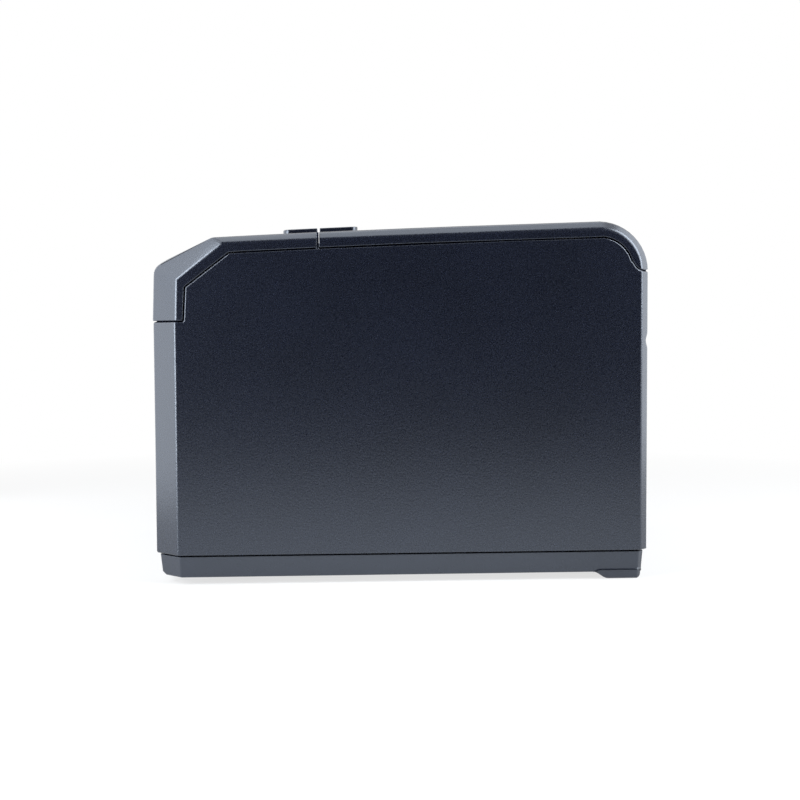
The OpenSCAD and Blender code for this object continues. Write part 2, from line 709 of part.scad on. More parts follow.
module blade_outline() {
    slot = [rack_x - 2 * drive_r - 1.2, rack_x];
    pitch = PI * rack_module;
    difference() {
        polygon([[-blade_x, blade_edge - 2], [-blade_x + 1.5, blade_edge], [0, blade_edge - 4],
            [blade_x - 1.5, blade_edge], [blade_x, blade_edge - 2], [blade_x, blade_edge - 30],
            [-blade_x, blade_edge - 30]]);
        translate([slot[0], drive_at[1] - cut_travel - 5.6])
            square([slot[1] - slot[0] + 0.66, cut_travel + 11.4]);
        for (x = [4, 26]) translate([x, blade_edge - 24]) square([14, 10]);
    }
    // Rack teeth on the slot's right edge, a gap facing the pinion's centre
    intersection() {
        translate([slot[1] - 0.48, drive_at[1] - cut_travel - 5.6])
            square([2, cut_travel + 11.4]);
        for (i = [-6 : 3]) translate([slot[1], drive_at[1] + (i + 0.5) * pitch])
            polygon([[-0.48, -0.24], [0.66, -0.66], [1.2, -0.66], [1.2, 0.66], [0.66, 0.66], [-0.48, 0.24]]);
    }
}
module moving_blade() {
    color(steel_color) translate([0, 0, cutter_z]) linear_extrude(1) blade_outline();
}
module cutter_drive_gear() {
    color(gear_color) {
        translate([drive_at[0], drive_at[1], cutter_z]) linear_extrude(1.2)
            gear(drive_teeth, rack_module, 0.14);
        translate([drive_at[0], drive_at[1], wheel_z]) {
            linear_extrude(3) gear(wheel_teeth, cut_module);
            cylinder(h = 4.8, r = 3, $fn = 48);
        }
    }
    color(steel_color) translate([drive_at[0], drive_at[1], 121.6])
        cylinder(h = 10.6, r = drive_shaft_r, $fn = 48);
}
module cutter_motor_pinion() {
    color("goldenrod") translate([cutter_motor_at[0], cutter_motor_at[1], 123.1]) {
        linear_extrude(3.4) rotate(mesh_turn(270, 0, wheel_teeth, wheel_pinion_teeth))
            gear(wheel_pinion_teeth, cut_module);
        translate([0, 0, -6]) cylinder(h = 6.01, r = 1, $fn = 48);
    }
}
module cutter_motor() {
    color(steel_color) translate([cutter_motor_at[0], cutter_motor_at[1], 0]) difference() {
        union() {
            translate([0, 0, 93]) cylinder(h = 28.4, r = cutter_motor_r, $fn = 96);
            translate([0, 0, 91]) cylinder(h = 2, r = 4, $fn = 48);
            translate([0, 0, 121.4]) cylinder(h = 1.2, r = 4, $fn = 48);
        }
        translate([0, 0, 116]) cylinder(h = 10, r = 1 + run_gap, $fn = 48);
    }
}
module fixed_blade() {
    color(steel_color) difference() {
        block([-blade_x, exit_y + 1.2, cutter_z - 1.2], [blade_x, exit_y + 12.2, cutter_z - 0.2]);
        for (x = [-36, 0, 36]) translate([x, exit_y + 9, cutter_z - 2]) cylinder(h = 3, r = 1.6, $fn = 32);
    }
}

// Lid release: push button on the front cover, spring, latch levers on a cross shaft
guide_z = 117.6;
arm_l = 9;
latch_shaft_r = 2;
latch_boss_r = 4;
hook_x = [49.4, 50.9];
module release_guide() {
    difference() {
        translate([button_at[0], button_at[1], guide_z]) rounded_plate(button_size + [5.4, 5], 2.4, 16);
        translate([button_at[0], button_at[1], guide_z + 1.4])
            rounded_plate(button_size + [2.6, 2.2], 2.4, 16);
        translate([button_at[0], button_at[1], guide_z - 1]) cylinder(h = 4, r = 2.2, $fn = 48);
    }
}
module release_button() {
    color(inner_color) {
        intersection() {
            translate([button_at[0], button_at[1], 120]) rounded_plate(button_size, 2, 30);
            along_x(40, 70) polygon(concat(crown(-70, -30, 4, 0), crown(-30, -70, 4, wall + 0.6)));
        }
        intersection() {
            translate([button_at[0], button_at[1], 120]) rounded_plate(button_size + [1.8, 1.6], 2, 30);
            along_x(40, 70) polygon(concat(crown(-70, -30, 4, wall + 0.3), crown(-30, -70, 4, wall + 1.8)));
        }
        stem_end = latch_pivot[1] + 2;
        translate([button_at[0], button_at[1], stem_end]) cylinder(h = 24, r = 2, $fn = 48);
    }
}
module release_spring() {
    color(steel_color) translate([button_at[0], button_at[1], guide_z + 1.4]) coil(4.4, 0.4, 12.6, 5);
}
module latch_levers() {
    color(steel_color) {
        both_sides() along_x(hook_x[0], hook_x[1]) difference() {
            union() {
                translate(latch_pivot) circle(r = latch_boss_r, $fn = 48);
                polygon([[-44, 110], [-35, 124], [-28.5, 127.2], [-24.4, 126.4], [-24, 123.4],
                    [-27.6, 121], [-30, 117], [-37.6, 105.6]]);
            }
            translate(platen) circle(r = bush_r + 0.25, $fn = 64);
            translate(latch_pivot) circle(r = latch_shaft_r, $fn = 48);
        }
        along_x(button_at[0] - 3, button_at[0] + 3) difference() {
            union() {
                translate(latch_pivot) circle(r = latch_boss_r, $fn = 48);
                polygon([latch_pivot + [-arm_l - 3, -1.5], latch_pivot + [-arm_l - 3, 1.5],
                    latch_pivot + [-2, 1.5], latch_pivot + [-2, -3], latch_pivot + [-6, -1.5]]);
            }
            translate(latch_pivot) circle(r = latch_shaft_r, $fn = 48);
        }
    }
}
module latch_shaft() {
    color(steel_color) rod_x(-shaft_end_x, button_at[0] + 4, latch_pivot, latch_shaft_r);
}

// Control panel on the slope: feed button, three light pipes and the small board under them
panel_depth = 11;
module feed_button() {
    color(inner_color) on_slope(feed_at[0]) {
        translate([0, 0, -2.2]) rounded_plate([16, 8], 3.9, 2.2);
        translate([0, 0, -3.9]) rounded_plate([18, 10], 3.9, 1.2);
        translate([0, 0, -3]) cylinder(h = 2, r = 2, $fn = 32);
        translate([0, 0, -7.8]) cylinder(h = 5, r = 1.4, $fn = 32);
    }
}
module status_light_pipes() {
    color([0.85, 0.9, 0.85]) {
        for (x = light_pipe_x) on_slope(x) translate([0, 0, -9.4]) cylinder(h = 9.4, r = 1.4, $fn = 32);
        on_slope(light_pipe_x[1]) translate([-9.5, -2.5, -5]) cube([19, 5, 1.5]);
    }
}
module panel_board() {
    color([0.1, 0.35, 0.2]) on_slope(20) translate([-26, -8, -panel_depth - 1.6]) cube([52, 16, 1.6]);
    color([0.2, 0.2, 0.2]) on_slope(feed_at[0]) translate([-3, -3, -panel_depth]) cube([6, 6, 2.2]);
    color([0.9, 0.9, 0.8]) for (x = light_pipe_x) on_slope(x)
        translate([-1.6, -0.8, -panel_depth]) cube([3.2, 1.6, 1.2]);
}

// Power switch in the left side panel, sunk so that nothing stands proud
switch_at = [-61.5, 35];
switch_pivot = 7.4;
switch_half = [10.8, 7];
switch_bore = [9.6, 5.6];
module power_switch_body() {
    color(inner_color) difference() {
        block([-half_w + 0.5, switch_at[0] - switch_half[0], switch_at[1] - switch_half[1]],
            [-half_w + 19, switch_at[0] + switch_half[0], switch_at[1] + switch_half[1]]);
        block([-half_w - past, switch_at[0] - switch_bore[0], switch_at[1] - switch_bore[1]],
            [-half_w + 13, switch_at[0] + switch_bore[0], switch_at[1] + switch_bore[1]]);
    }
    color(steel_color) for (y = [-6, 0, 6])
        block([-half_w + 19, switch_at[0] + y - 2.4, switch_at[1] - 0.4],
            [-half_w + 26, switch_at[0] + y + 2.4, switch_at[1] + 0.4]);
    color(inner_color) for (s = [-1, 1])
        translate([-half_w + switch_pivot, switch_at[0], switch_at[1] + s * switch_bore[1]])
            translate([0, 0, s > 0 ? -0.9 : 0]) cylinder(h = 0.9, r = 1.2, $fn = 32);
}
module power_switch_rocker() {
    color(rubber_color) translate([-half_w + switch_pivot, switch_at[0], switch_at[1]]) rotate(-8) difference() {
        translate([0, 0, -5.3]) linear_extrude(10.6)
            polygon([[-4.2, -9], [-2.6, 0], [-4.2, 9], [-0.5, 9.1], [3.4, 2], [3.4, -2], [-0.5, -9.1]]);
        for (s = [-1, 1]) translate([0, 0, s * 5.3 - 1]) cylinder(h = 2, r = 1.2 + run_gap, $fn = 32);
    }
}

// Electronics on the base
board_y = [-22, 91];
module main_board() {
    color([0.08, 0.33, 0.2]) difference() {
        block([-48, board_y[0], board_top - 1.6], [48, board_y[1], board_top]);
        for (x = [-board_screw_x, board_screw_x], y = board_screw_y)
            translate([x, y, 10]) cylinder(h = 20, r = 1.7, $fn = 32);
    }
}
module board_components() {
    color([0.15, 0.15, 0.16]) {
        block([-10, 20, board_top], [10, 40, board_top + 1.4]);
        block([16, 24, board_top], [28, 32, board_top + 1.2]);
        block([-34, 50, board_top], [-22, 66, board_top + 4]);
    }
    color([0.3, 0.32, 0.36]) for (x = [-34, -20], y = [4, 18])
        translate([x, y, board_top]) cylinder(h = 13, r = 5, $fn = 48);
    color([0.9, 0.88, 0.8]) {
        block([-10, -18.6, board_top], [20, -16.3, board_top + 5]);
        for (x = [22, 31]) block([x, -18, board_top], [x + 7, -12, board_top + 6]);
    }
}
// Shell of a socket on the board's rear edge: [centre x, width, height]
module socket_shell(socket, depth, inset) {
    difference() {
        block([socket[0] - socket[1] / 2, rear_y - 1 - depth, board_top],
            [socket[0] + socket[1] / 2, rear_y - 0.6, board_top + socket[2]]);
        block([socket[0] - socket[1] / 2 + inset, rear_y - depth + 3, board_top + inset],
            [socket[0] + socket[1] / 2 - inset, rear_y + past, board_top + socket[2] - inset]);
    }
}
module power_inlet() {
    middle = board_top + power_in[2] / 2;
    color([0.12, 0.12, 0.13]) difference() {
        block([power_in[0] - power_in[1] / 2, rear_y - 16, board_top],
            [power_in[0] + power_in[1] / 2, rear_y - 0.6, board_top + power_in[2]]);
        translate([power_in[0], rear_y - 12, middle]) rotate([-90, 0, 0]) cylinder(h = 14, r = 5, $fn = 64);
    }
    pin_ring = 2.6;
    color(steel_color) for (a = [90, 210, 330])
        translate([power_in[0] + pin_ring * cos(a), rear_y - 12, middle + pin_ring * sin(a)])
            rotate([-90, 0, 0]) cylinder(h = 6, r = 0.6, $fn = 24);
}
module usb_socket() {
    color(steel_color) socket_shell(usb_in, 15, 0.9);
    color([0.9, 0.9, 0.9])
        block([usb_in[0] - 2.8, rear_y - 13, board_top + 4], [usb_in[0] + 2.8, rear_y - 7, board_top + 7.2]);
}
module network_socket() {
    color(steel_color) difference() {
        socket_shell(network_in, 18, 2);
        block([network_in[0] - 3, rear_y - 12, board_top + 8],
            [network_in[0] + 3, rear_y + past, board_top + 12.4]);
    }
}
module drawer_socket() {
    color([0.14, 0.14, 0.15]) difference() {
        socket_shell(drawer_in, 15, 1.8);
        block([drawer_in[0] - 2, rear_y - 12, board_top + 8],
            [drawer_in[0] + 2, rear_y + past, board_top + 11.4]);
    }
}

// Paper roll bay: half-round tray with cheeks, deck flange and front guide
lid_switch_at = [63, 0];
module paper_bucket() {
    shell = 2;
    bay_front = roll[0] - bay_r - shell;
    front_lip = [[-5, -2], [-12, -9], [-12, -12], [-10, -12], [-10, -10], [-3, -3], [0, -3], [0, 0]];
    color(inner_color) difference() {
        union() {
            along_x(-bay_w / 2 - shell, bay_w / 2 + shell) intersection() {
                union() {
                    translate(roll) circle(r = bay_r + shell, $fn = 128);
                    translate([bay_front, roll[1]])
                        square([2 * (bay_r + shell), deck_z - roll[1]]);
                }
                translate([roll[0] - 60, 20]) square([120, deck_z - 20]);
            }
            block([-half_w + wall + 1.6, bay_front - 5, deck_z - 2],
                [half_w - wall - 1.6, rear_y - wall - 0.6, deck_z]);
        }
        along_x(-bay_w / 2, bay_w / 2) {
            translate(roll) circle(r = bay_r, $fn = 128);
            translate([roll[0] - bay_r, roll[1]]) square([2 * bay_r, 60]);
        }
        translate([lid_switch_at[0], lid_switch_at[1], deck_z - 3]) cylinder(h = 4, r = 1.6, $fn = 32);
        // Slot of the near-end lever in the right cheek
        block([bay_w / 2 - 1, lever_y - 4, 66], [bay_w / 2 + shell + 1, lever_y + 4, 76.5]);
    }
    // Ears that carry the lever's axle
    color(inner_color) for (y = [-7, 5]) difference() {
        block([bay_w / 2 + shell, lever_y + y, lever_axle[1] - 3],
            [lever_axle[0] + 2.6, lever_y + y + 2, lever_axle[1] + 3]);
        translate([lever_axle[0], lever_y + y - 1, lever_axle[1]]) rotate([-90, 0, 0])
            cylinder(h = 4, r = 1 + run_gap, $fn = 32);
    }
    color(inner_color) along_x(-bay_w / 2 - shell, bay_w / 2 + shell)
        polygon([for (corner = front_lip) [bay_front, deck_z] + corner]);
}
module paper_end_sensor() {
    color([0.1, 0.1, 0.1]) block([-4, -11, 103.2], [4, -6, 106.8]);
}
lever_y = roll[0] - 11;
lever_axle = [50, 60];
module near_end_lever() {
    color([0.85, 0.85, 0.82]) translate([lever_axle[0], lever_y, lever_axle[1]]) {
        rotate([-90, 0, 0]) translate([0, 0, -6.9]) cylinder(h = 13.8, r = 1, $fn = 32);
        rotate([90, 0, 0]) translate([0, 0, -3]) linear_extrude(6) difference() {
            polygon([[-2, -2], [2, -2], [2, 8], [-0.6, 13.6], [-11.4, 13.6], [-12, 12.6], [-11.4, 11],
                [-5.6, 9.6], [-2, 7]]);
            circle(r = 1, $fn = 32);
        }
    }
}
module lid_switch() {
    color([0.12, 0.12, 0.13]) block([60, -6, deck_z - 13], [66, 7, deck_z - 2]);
    color("firebrick") translate([lid_switch_at[0], lid_switch_at[1], deck_z - 2])
        cylinder(h = 3.4, r = 1.3, $fn = 32);
}

// Fasteners, each kind as one group
module pan_screw(head_r, head_h, r, l) {
    difference() {
        translate([0, 0, -head_h]) cylinder(h = head_h, r = head_r, $fn = 32);
        translate([0, 0, -head_h - 0.1]) {
            translate([-head_r * 0.6, -0.3, 0]) cube([head_r * 1.2, 0.6, 0.9]);
            translate([-0.3, -head_r * 0.6, 0]) cube([0.6, head_r * 1.2, 0.9]);
        }
    }
    cylinder(h = l, r = r, $fn = 32);
}
module case_screws() {
    color(steel_color) for (x = [-case_screw_x, case_screw_x], y = case_screw_y)
        translate([x, y, screw_seat_z]) pan_screw(2.7, 1.2, 1.25, 14);
}
module board_screws() {
    color(steel_color) for (x = [-board_screw_x, board_screw_x], y = board_screw_y)
        translate([x, y, board_top]) mirror([0, 0, 1]) pan_screw(2.6, 1.8, 1.2, 9);
}
module mechanism_screws() {
    color(steel_color) both_sides() for (y = [-44, -22])
        translate([plate_x + 6.4, y, 67.2]) mirror([0, 0, 1]) pan_screw(2.6, 1.8, 1.25, 9);
}
module lid_screws() {
    color(steel_color) for (x = [-lid_screw_at[0], lid_screw_at[0]])
        translate([x, lid_screw_at[1], frame_top_z - 1.6]) pan_screw(2.4, 1.6, 1.2, 4);
}

base_tray();
front_feet();
rear_pads();
main_housing();
front_cover();
paper_lid();
lid_inner_frame();
hinge_pins();
platen_roller();
platen_shaft();
platen_bushings();
platen_gear();
fixed_blade();
mechanism_frame();
thermal_head();
head_heat_sink();
head_springs();
feed_motor();
motor_pinion();
idler_gear();
idler_pin();
cutter_frame();
moving_blade();
cutter_drive_gear();
cutter_motor();
cutter_motor_pinion();
release_button();
release_spring();
latch_levers();
latch_shaft();
feed_button();
status_light_pipes();
panel_board();
power_switch_body();
power_switch_rocker();
main_board();
board_components();
power_inlet();
usb_socket();
drawer_socket();
network_socket();
paper_bucket();
paper_end_sensor();
near_end_lever();
lid_switch();
head_ribbon();
case_screws();
board_screws();
mechanism_screws();
lid_screws();
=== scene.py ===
# Desktop receipt printer, dressed for its photograph: camera and studio, the base tray with the
# board and sockets on it, the housing and front cover, the mechanism inside, and last the lid.
import math
import bpy
from mathutils import Euler, Matrix, Vector


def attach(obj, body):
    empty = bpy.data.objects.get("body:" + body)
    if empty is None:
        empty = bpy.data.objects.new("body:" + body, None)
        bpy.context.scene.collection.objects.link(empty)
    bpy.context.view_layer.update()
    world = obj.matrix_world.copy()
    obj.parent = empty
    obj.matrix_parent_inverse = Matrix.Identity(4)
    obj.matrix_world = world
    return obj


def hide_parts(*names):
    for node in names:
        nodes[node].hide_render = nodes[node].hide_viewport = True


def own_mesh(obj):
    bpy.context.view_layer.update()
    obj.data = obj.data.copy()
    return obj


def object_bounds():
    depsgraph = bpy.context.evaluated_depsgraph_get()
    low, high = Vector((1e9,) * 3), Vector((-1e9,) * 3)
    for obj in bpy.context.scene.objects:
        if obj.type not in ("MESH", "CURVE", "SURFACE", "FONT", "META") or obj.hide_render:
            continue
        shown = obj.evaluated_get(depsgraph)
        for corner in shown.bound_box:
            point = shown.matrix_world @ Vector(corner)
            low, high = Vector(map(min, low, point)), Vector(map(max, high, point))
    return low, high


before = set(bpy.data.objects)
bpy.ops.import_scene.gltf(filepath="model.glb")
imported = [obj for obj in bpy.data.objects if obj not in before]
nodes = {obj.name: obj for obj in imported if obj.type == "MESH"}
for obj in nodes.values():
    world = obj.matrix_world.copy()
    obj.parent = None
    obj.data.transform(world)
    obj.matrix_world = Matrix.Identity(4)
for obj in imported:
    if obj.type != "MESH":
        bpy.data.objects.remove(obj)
cad_low, cad_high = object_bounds()

# Camera. It looks straight at the right side panel from half a metre, level with the paper bay and
# turned slightly to the rear, with the lens of the photograph.
MM = 0.001
camera_place = Vector((0.5775, -0.02496, 0.0999))
camera_yaw = math.radians(2.735)
camera_tilt = math.radians(3.185)
camera_roll = math.radians(-0.29)
lens_px = 1303.0
frame_px = 800.0
sensor_mm = 36.0

forward = Vector((-math.cos(camera_yaw) * math.cos(camera_tilt),
                  math.sin(camera_yaw) * math.cos(camera_tilt), -math.sin(camera_tilt)))
level = Vector((math.sin(camera_yaw), math.cos(camera_yaw), 0.0))
upright = level.cross(forward)
across = math.cos(camera_roll) * level + math.sin(camera_roll) * upright
upward = -math.sin(camera_roll) * level + math.cos(camera_roll) * upright
lens = bpy.data.cameras.new("camera")
lens.sensor_width = sensor_mm
lens.lens = sensor_mm * lens_px / frame_px
lens.clip_start = 0.01
camera = bpy.data.objects.new("camera", lens)
camera.matrix_world = Matrix((across, upward, -forward)).transposed().to_4x4()
camera.location = camera_place
bpy.context.scene.collection.objects.link(camera)
bpy.context.scene.camera = camera

# Studio. A white table runs out of sight; soft boxes stand in front, behind and above the printer.
# A dark flag, unseen by the camera, stands before the side panel and keeps its colour deep.
bpy.context.scene.view_settings.view_transform = "Standard"
daylight = (0.93, 0.965, 1.0)


def soft_box(name, place, aim, size, radiance):
    """A rectangular lamp whose power follows its size, so that radiance sets its brightness."""
    lamp = bpy.data.lights.new(name, "AREA")
    lamp.shape = "RECTANGLE"
    lamp.size, lamp.size_y = size
    lamp.energy = radiance * math.pi * size[0] * size[1]
    lamp.color = daylight
    box = bpy.data.objects.new(name, lamp)
    box.location = place
    box.rotation_euler = (Vector(aim) - Vector(place)).to_track_quat("-Z", "Y").to_euler()
    bpy.context.scene.collection.objects.link(box)


soft_box("box_front", (0.0, -0.25, 0.30), (0.0, 0.0, 0.30), (0.4, 0.58), 1.7)
soft_box("box_rear", (0.0, 0.40, 0.32), (0.0, 0.0, 0.32), (0.4, 0.62), 1.95)
soft_box("box_top", (-0.05, 0.0, 1.1), (0.0, 0.0, 0.1), (0.7, 1.3), 1.35)
soft_box("strip_front", (0.37, -0.46, 0.26), (0.07, -0.05, 0.12), (0.22, 0.56), 10.0)
soft_box("strip_rear", (0.30, 0.54, 0.40), (0.07, 0.08, 0.12), (0.26, 0.62), 9.5)

# A spot lights the table in front of the side panel, which then glows from below.
spot_height = 0.9
spot_radius = 0.18
lit_patch = Vector((0.25, 0.0, 0.0))
beam = bpy.data.lights.new("table_spot", "SPOT")
beam.energy = 30.0
beam.color = daylight
beam.shadow_soft_size = 0.02
beam.spot_size = 2 * math.atan2(spot_radius, spot_height)
beam.spot_blend = 0.35
spot = bpy.data.objects.new("table_spot", beam)
spot.location = (0.38, 0.0, spot_height)
spot.rotation_euler = (lit_patch - spot.location).to_track_quat("-Z", "Y").to_euler()
bpy.context.scene.collection.objects.link(spot)


def node_tree(owner):
    owner.use_nodes = True
    tree = owner.node_tree
    tree.nodes.clear()
    return tree


def seen_directly(tree):
    """One where the ray comes from the camera, a mirror or glass, else zero."""
    path = tree.nodes.new("ShaderNodeLightPath")
    first = tree.nodes.new("ShaderNodeMath")
    first.operation = "MAXIMUM"
    tree.links.new(path.outputs["Is Camera Ray"], first.inputs[0])
    tree.links.new(path.outputs["Is Glossy Ray"], first.inputs[1])
    both = tree.nodes.new("ShaderNodeMath")
    both.operation = "MAXIMUM"
    tree.links.new(first.outputs[0], both.inputs[0])
    tree.links.new(path.outputs["Is Transmission Ray"], both.inputs[1])
    return both.outputs[0]


world = bpy.data.worlds.new("studio")
bpy.context.scene.world = world
tree = node_tree(world)
white = tree.nodes.new("ShaderNodeBackground")
white.inputs["Color"].default_value = (1.0, 1.0, 1.0, 1.0)
fill = tree.nodes.new("ShaderNodeBackground")
fill.inputs["Color"].default_value = (0.93, 0.96, 1.0, 1.0)
fill.inputs["Strength"].default_value = 0.03
mix = tree.nodes.new("ShaderNodeMixShader")
tree.links.new(seen_directly(tree), mix.inputs["Fac"])
tree.links.new(fill.outputs[0], mix.inputs[1])
tree.links.new(white.outputs[0], mix.inputs[2])
tree.links.new(mix.outputs[0], tree.nodes.new("ShaderNodeOutputWorld").inputs["Surface"])

bpy.ops.object.select_all(action="DESELECT")
bpy.ops.mesh.primitive_plane_add(size=12.0)
table = bpy.context.active_object
table.name = "table"
table_finish = bpy.data.materials.new("white_table")
tree = node_tree(table_finish)
paint = tree.nodes.new("ShaderNodeBsdfDiffuse")
paint.inputs["Color"].default_value = (0.93, 0.93, 0.93, 1.0)
glow = tree.nodes.new("ShaderNodeEmission")
glow.inputs["Color"].default_value = (1.0, 1.0, 1.0, 1.0)
where = tree.nodes.new("ShaderNodeTexCoord")
reach = tree.nodes.new("ShaderNodeVectorMath")
reach.operation = "LENGTH"
tree.links.new(where.outputs["Object"], reach.inputs[0])
shadow_reach, clear_reach = 0.16, 0.5
glow_near, glow_far = 0.70, 1.0
fade = tree.nodes.new("ShaderNodeMapRange")
fade.inputs["From Min"].default_value = shadow_reach
fade.inputs["From Max"].default_value = clear_reach
fade.inputs["To Min"].default_value = glow_near
fade.inputs["To Max"].default_value = glow_far
tree.links.new(reach.outputs["Value"], fade.inputs["Value"])
lift = tree.nodes.new("ShaderNodeMath")
lift.operation = "MULTIPLY"
tree.links.new(fade.outputs[0], lift.inputs[1])
lit = tree.nodes.new("ShaderNodeMixShader")
tree.links.new(seen_directly(tree), lift.inputs[0])
tree.links.new(lift.outputs[0], lit.inputs["Fac"])
tree.links.new(paint.outputs[0], lit.inputs[1])
tree.links.new(glow.outputs[0], lit.inputs[2])
tree.links.new(lit.outputs[0], tree.nodes.new("ShaderNodeOutputMaterial").inputs["Surface"])
table.data.materials.append(table_finish)

bpy.ops.object.select_all(action="DESELECT")
bpy.ops.mesh.primitive_plane_add(size=1.0, location=(0.41, 0.0, 0.6),
                                 rotation=(0.0, math.radians(90), 0.0))
flag = bpy.context.active_object
flag.name = "flag"
flag.scale = (1.2, 0.72, 1.0)
flag_cloth = bpy.data.materials.new("black_flag")
tree = node_tree(flag_cloth)
felt = tree.nodes.new("ShaderNodeBsdfDiffuse")
felt.inputs["Color"].default_value = (0.02, 0.02, 0.022, 1.0)
tree.links.new(felt.outputs[0], tree.nodes.new("ShaderNodeOutputMaterial").inputs["Surface"])
flag.data.materials.append(flag_cloth)
flag.visible_camera = False


# Base tray. A shallow navy tray that tapers to the foot line, moulded with the same fine grain as
# the case above it, and screwed up into the housing from below.
def surface(name, colour, roughness, grain=2400.0, relief=0.00002, stretch=(1.0, 1.0, 1.0),
            metallic=0.0, specular=0.5, mottle=0.1, cloud=28.0, gloss=0.05):
    """A finish with a fine grain in its relief and gloss and a faint cloudiness in its colour."""
    material = bpy.data.materials.new(name)
    tree = node_tree(material)
    add, link = tree.nodes.new, tree.links.new
    place = add("ShaderNodeTexCoord")
    clouds = add("ShaderNodeTexNoise")
    clouds.inputs["Scale"].default_value = cloud
    clouds.inputs["Detail"].default_value = 3.0
    tint = add("ShaderNodeValToRGB")
    tint.color_ramp.elements[0].position = 0.3
    tint.color_ramp.elements[1].position = 0.7
    tint.color_ramp.elements[0].color = [c * (1.0 - mottle) for c in colour] + [1.0]
    tint.color_ramp.elements[1].color = [c * (1.0 + mottle) for c in colour] + [1.0]
    turn = add("ShaderNodeMapping")
    turn.inputs["Scale"].default_value = stretch
    skin = add("ShaderNodeTexNoise")
    skin.inputs["Scale"].default_value = grain
    skin.inputs["Detail"].default_value = 2.0
    sheen = add("ShaderNodeMapRange")
    sheen.inputs["To Min"].default_value = roughness - gloss
    sheen.inputs["To Max"].default_value = roughness + gloss
    bump = add("ShaderNodeBump")
    bump.inputs["Strength"].default_value = 1.0
    bump.inputs["Distance"].default_value = relief
    shader = add("ShaderNodeBsdfPrincipled")
    shader.inputs["Metallic"].default_value = metallic
    shader.inputs["Specular IOR Level"].default_value = specular
    link(place.outputs["Object"], clouds.inputs["Vector"])
    link(place.outputs["Object"], turn.inputs["Vector"])
    link(turn.outputs[0], skin.inputs["Vector"])
    link(clouds.outputs["Fac"], tint.inputs["Fac"])
    link(tint.outputs["Color"], shader.inputs["Base Color"])
    link(skin.outputs["Fac"], sheen.inputs["Value"])
    link(sheen.outputs[0], shader.inputs["Roughness"])
    link(skin.outputs["Fac"], bump.inputs["Height"])
    link(bump.outputs["Normal"], shader.inputs["Normal"])
    link(shader.outputs[0], add("ShaderNodeOutputMaterial").inputs["Surface"])
    material["shader"] = shader.name
    return material


def pick(piece):
    """Makes one piece the only one selected."""
    bpy.ops.object.select_all(action="DESELECT")
    piece.select_set(True)
    bpy.context.view_layer.objects.active = piece


def apply_modifiers(piece):
    pick(piece)
    for modifier in list(piece.modifiers):
        bpy.ops.object.modifier_apply(modifier=modifier.name)


weld_distance = 2e-6
flat_angle = math.radians(0.4)


def merged_copy(node, name):
    """A copy of a construction mesh with its points merged and its flat faces joined."""
    piece = bpy.data.objects.new(name, nodes[node].data.copy())
    bpy.context.scene.collection.objects.link(piece)
    pick(piece)
    bpy.ops.object.mode_set(mode="EDIT")
    bpy.ops.mesh.select_all(action="SELECT")
    bpy.ops.mesh.remove_doubles(threshold=weld_distance)
    bpy.ops.mesh.dissolve_limited(angle_limit=flat_angle)
    bpy.ops.object.mode_set(mode="OBJECT")
    return piece


shortest_edge = 1e-5
sharp_angle = math.radians(17)


def ease_edges(piece, width, share, segments=3):
    """Rounds a piece's sharp edges by up to width metres, each by the share that it is given."""
    mesh = piece.data
    sides = {}
    for face in mesh.polygons:
        for key in face.edge_keys:
            sides.setdefault(key, []).append(face.normal.copy())
    weight = mesh.attributes.new("bevel_weight_edge", "FLOAT", "EDGE")
    for edge in mesh.edges:
        normals = sides.get(tuple(sorted(edge.vertices)), [])
        ends = [mesh.vertices[i].co for i in edge.vertices]
        if len(normals) != 2 or (ends[0] - ends[1]).length < shortest_edge:
            continue
        if normals[0].angle(normals[1], 0.0) > sharp_angle:
            weight.data[edge.index].value = share(ends, normals)
    rounding = piece.modifiers.new("rounding", "BEVEL")
    rounding.limit_method = "WEIGHT"
    rounding.width = width
    rounding.segments = segments
    rounding.use_clamp_overlap = False
    rounding.miter_outer = "MITER_ARC"
    apply_modifiers(piece)


def smoothed(piece, angle=32.0):
    """Smooth shading up to an angle, with the flat faces kept flat."""
    pick(piece)
    bpy.ops.object.shade_smooth_by_angle(angle=math.radians(angle))
    even = piece.modifiers.new("even", "WEIGHTED_NORMAL")
    even.keep_sharp = True
    even.weight = 100
    apply_modifiers(piece)


def fitted(piece, material, body, slot, *replaced):
    """Gives a finished piece its finish, its body and the construction nodes that it stands for."""
    piece.data.materials.clear()
    piece.data.materials.append(material)
    if replaced:
        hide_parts(*replaced)
    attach(piece, body)


def everywhere(ends, normals):
    """The full share of rounding for every sharp edge."""
    return 1.0


moulded = {"grain": 1300.0, "relief": 0.000036, "specular": 1.0, "mottle": 0.12, "gloss": 0.07}
case_finish = surface("case_plastic", (0.0042, 0.0056, 0.0125), 0.28, **moulded)
# The tray is coloured lighter than the case: painted light for the white table's glow on it.
tray_finish_painted_lighter = surface("tray_plastic", (0.0085, 0.0105, 0.0180), 0.30, **moulded)
for finish in (case_finish, tray_finish_painted_lighter):
    shader = finish.node_tree.nodes[finish["shader"]]
    shader.inputs["Specular Tint"].default_value = (0.80, 0.88, 1.0, 1.0)

base_shell = merged_copy("base_tray", "base_shell")
ease_edges(base_shell, 0.0004, everywhere)
smoothed(base_shell)
fitted(base_shell, tray_finish_painted_lighter, "case", "case_plastic", "base_tray")

# Feet and case screws. Two round rubber feet sit in wells under the front corners, two smaller
# round pads lie under the rear foot blocks, and four zinc-plated screws hold tray and housing.
rubber = surface("rubber", (0.014, 0.014, 0.015), 0.72, grain=900.0, relief=0.00004, specular=0.3,
                 gloss=0.12)
zinc = surface("zinc_plate", (0.56, 0.57, 0.60), 0.30, grain=700.0, relief=0.000006, metallic=1.0,
               mottle=0.06, cloud=140.0, gloss=0.08)


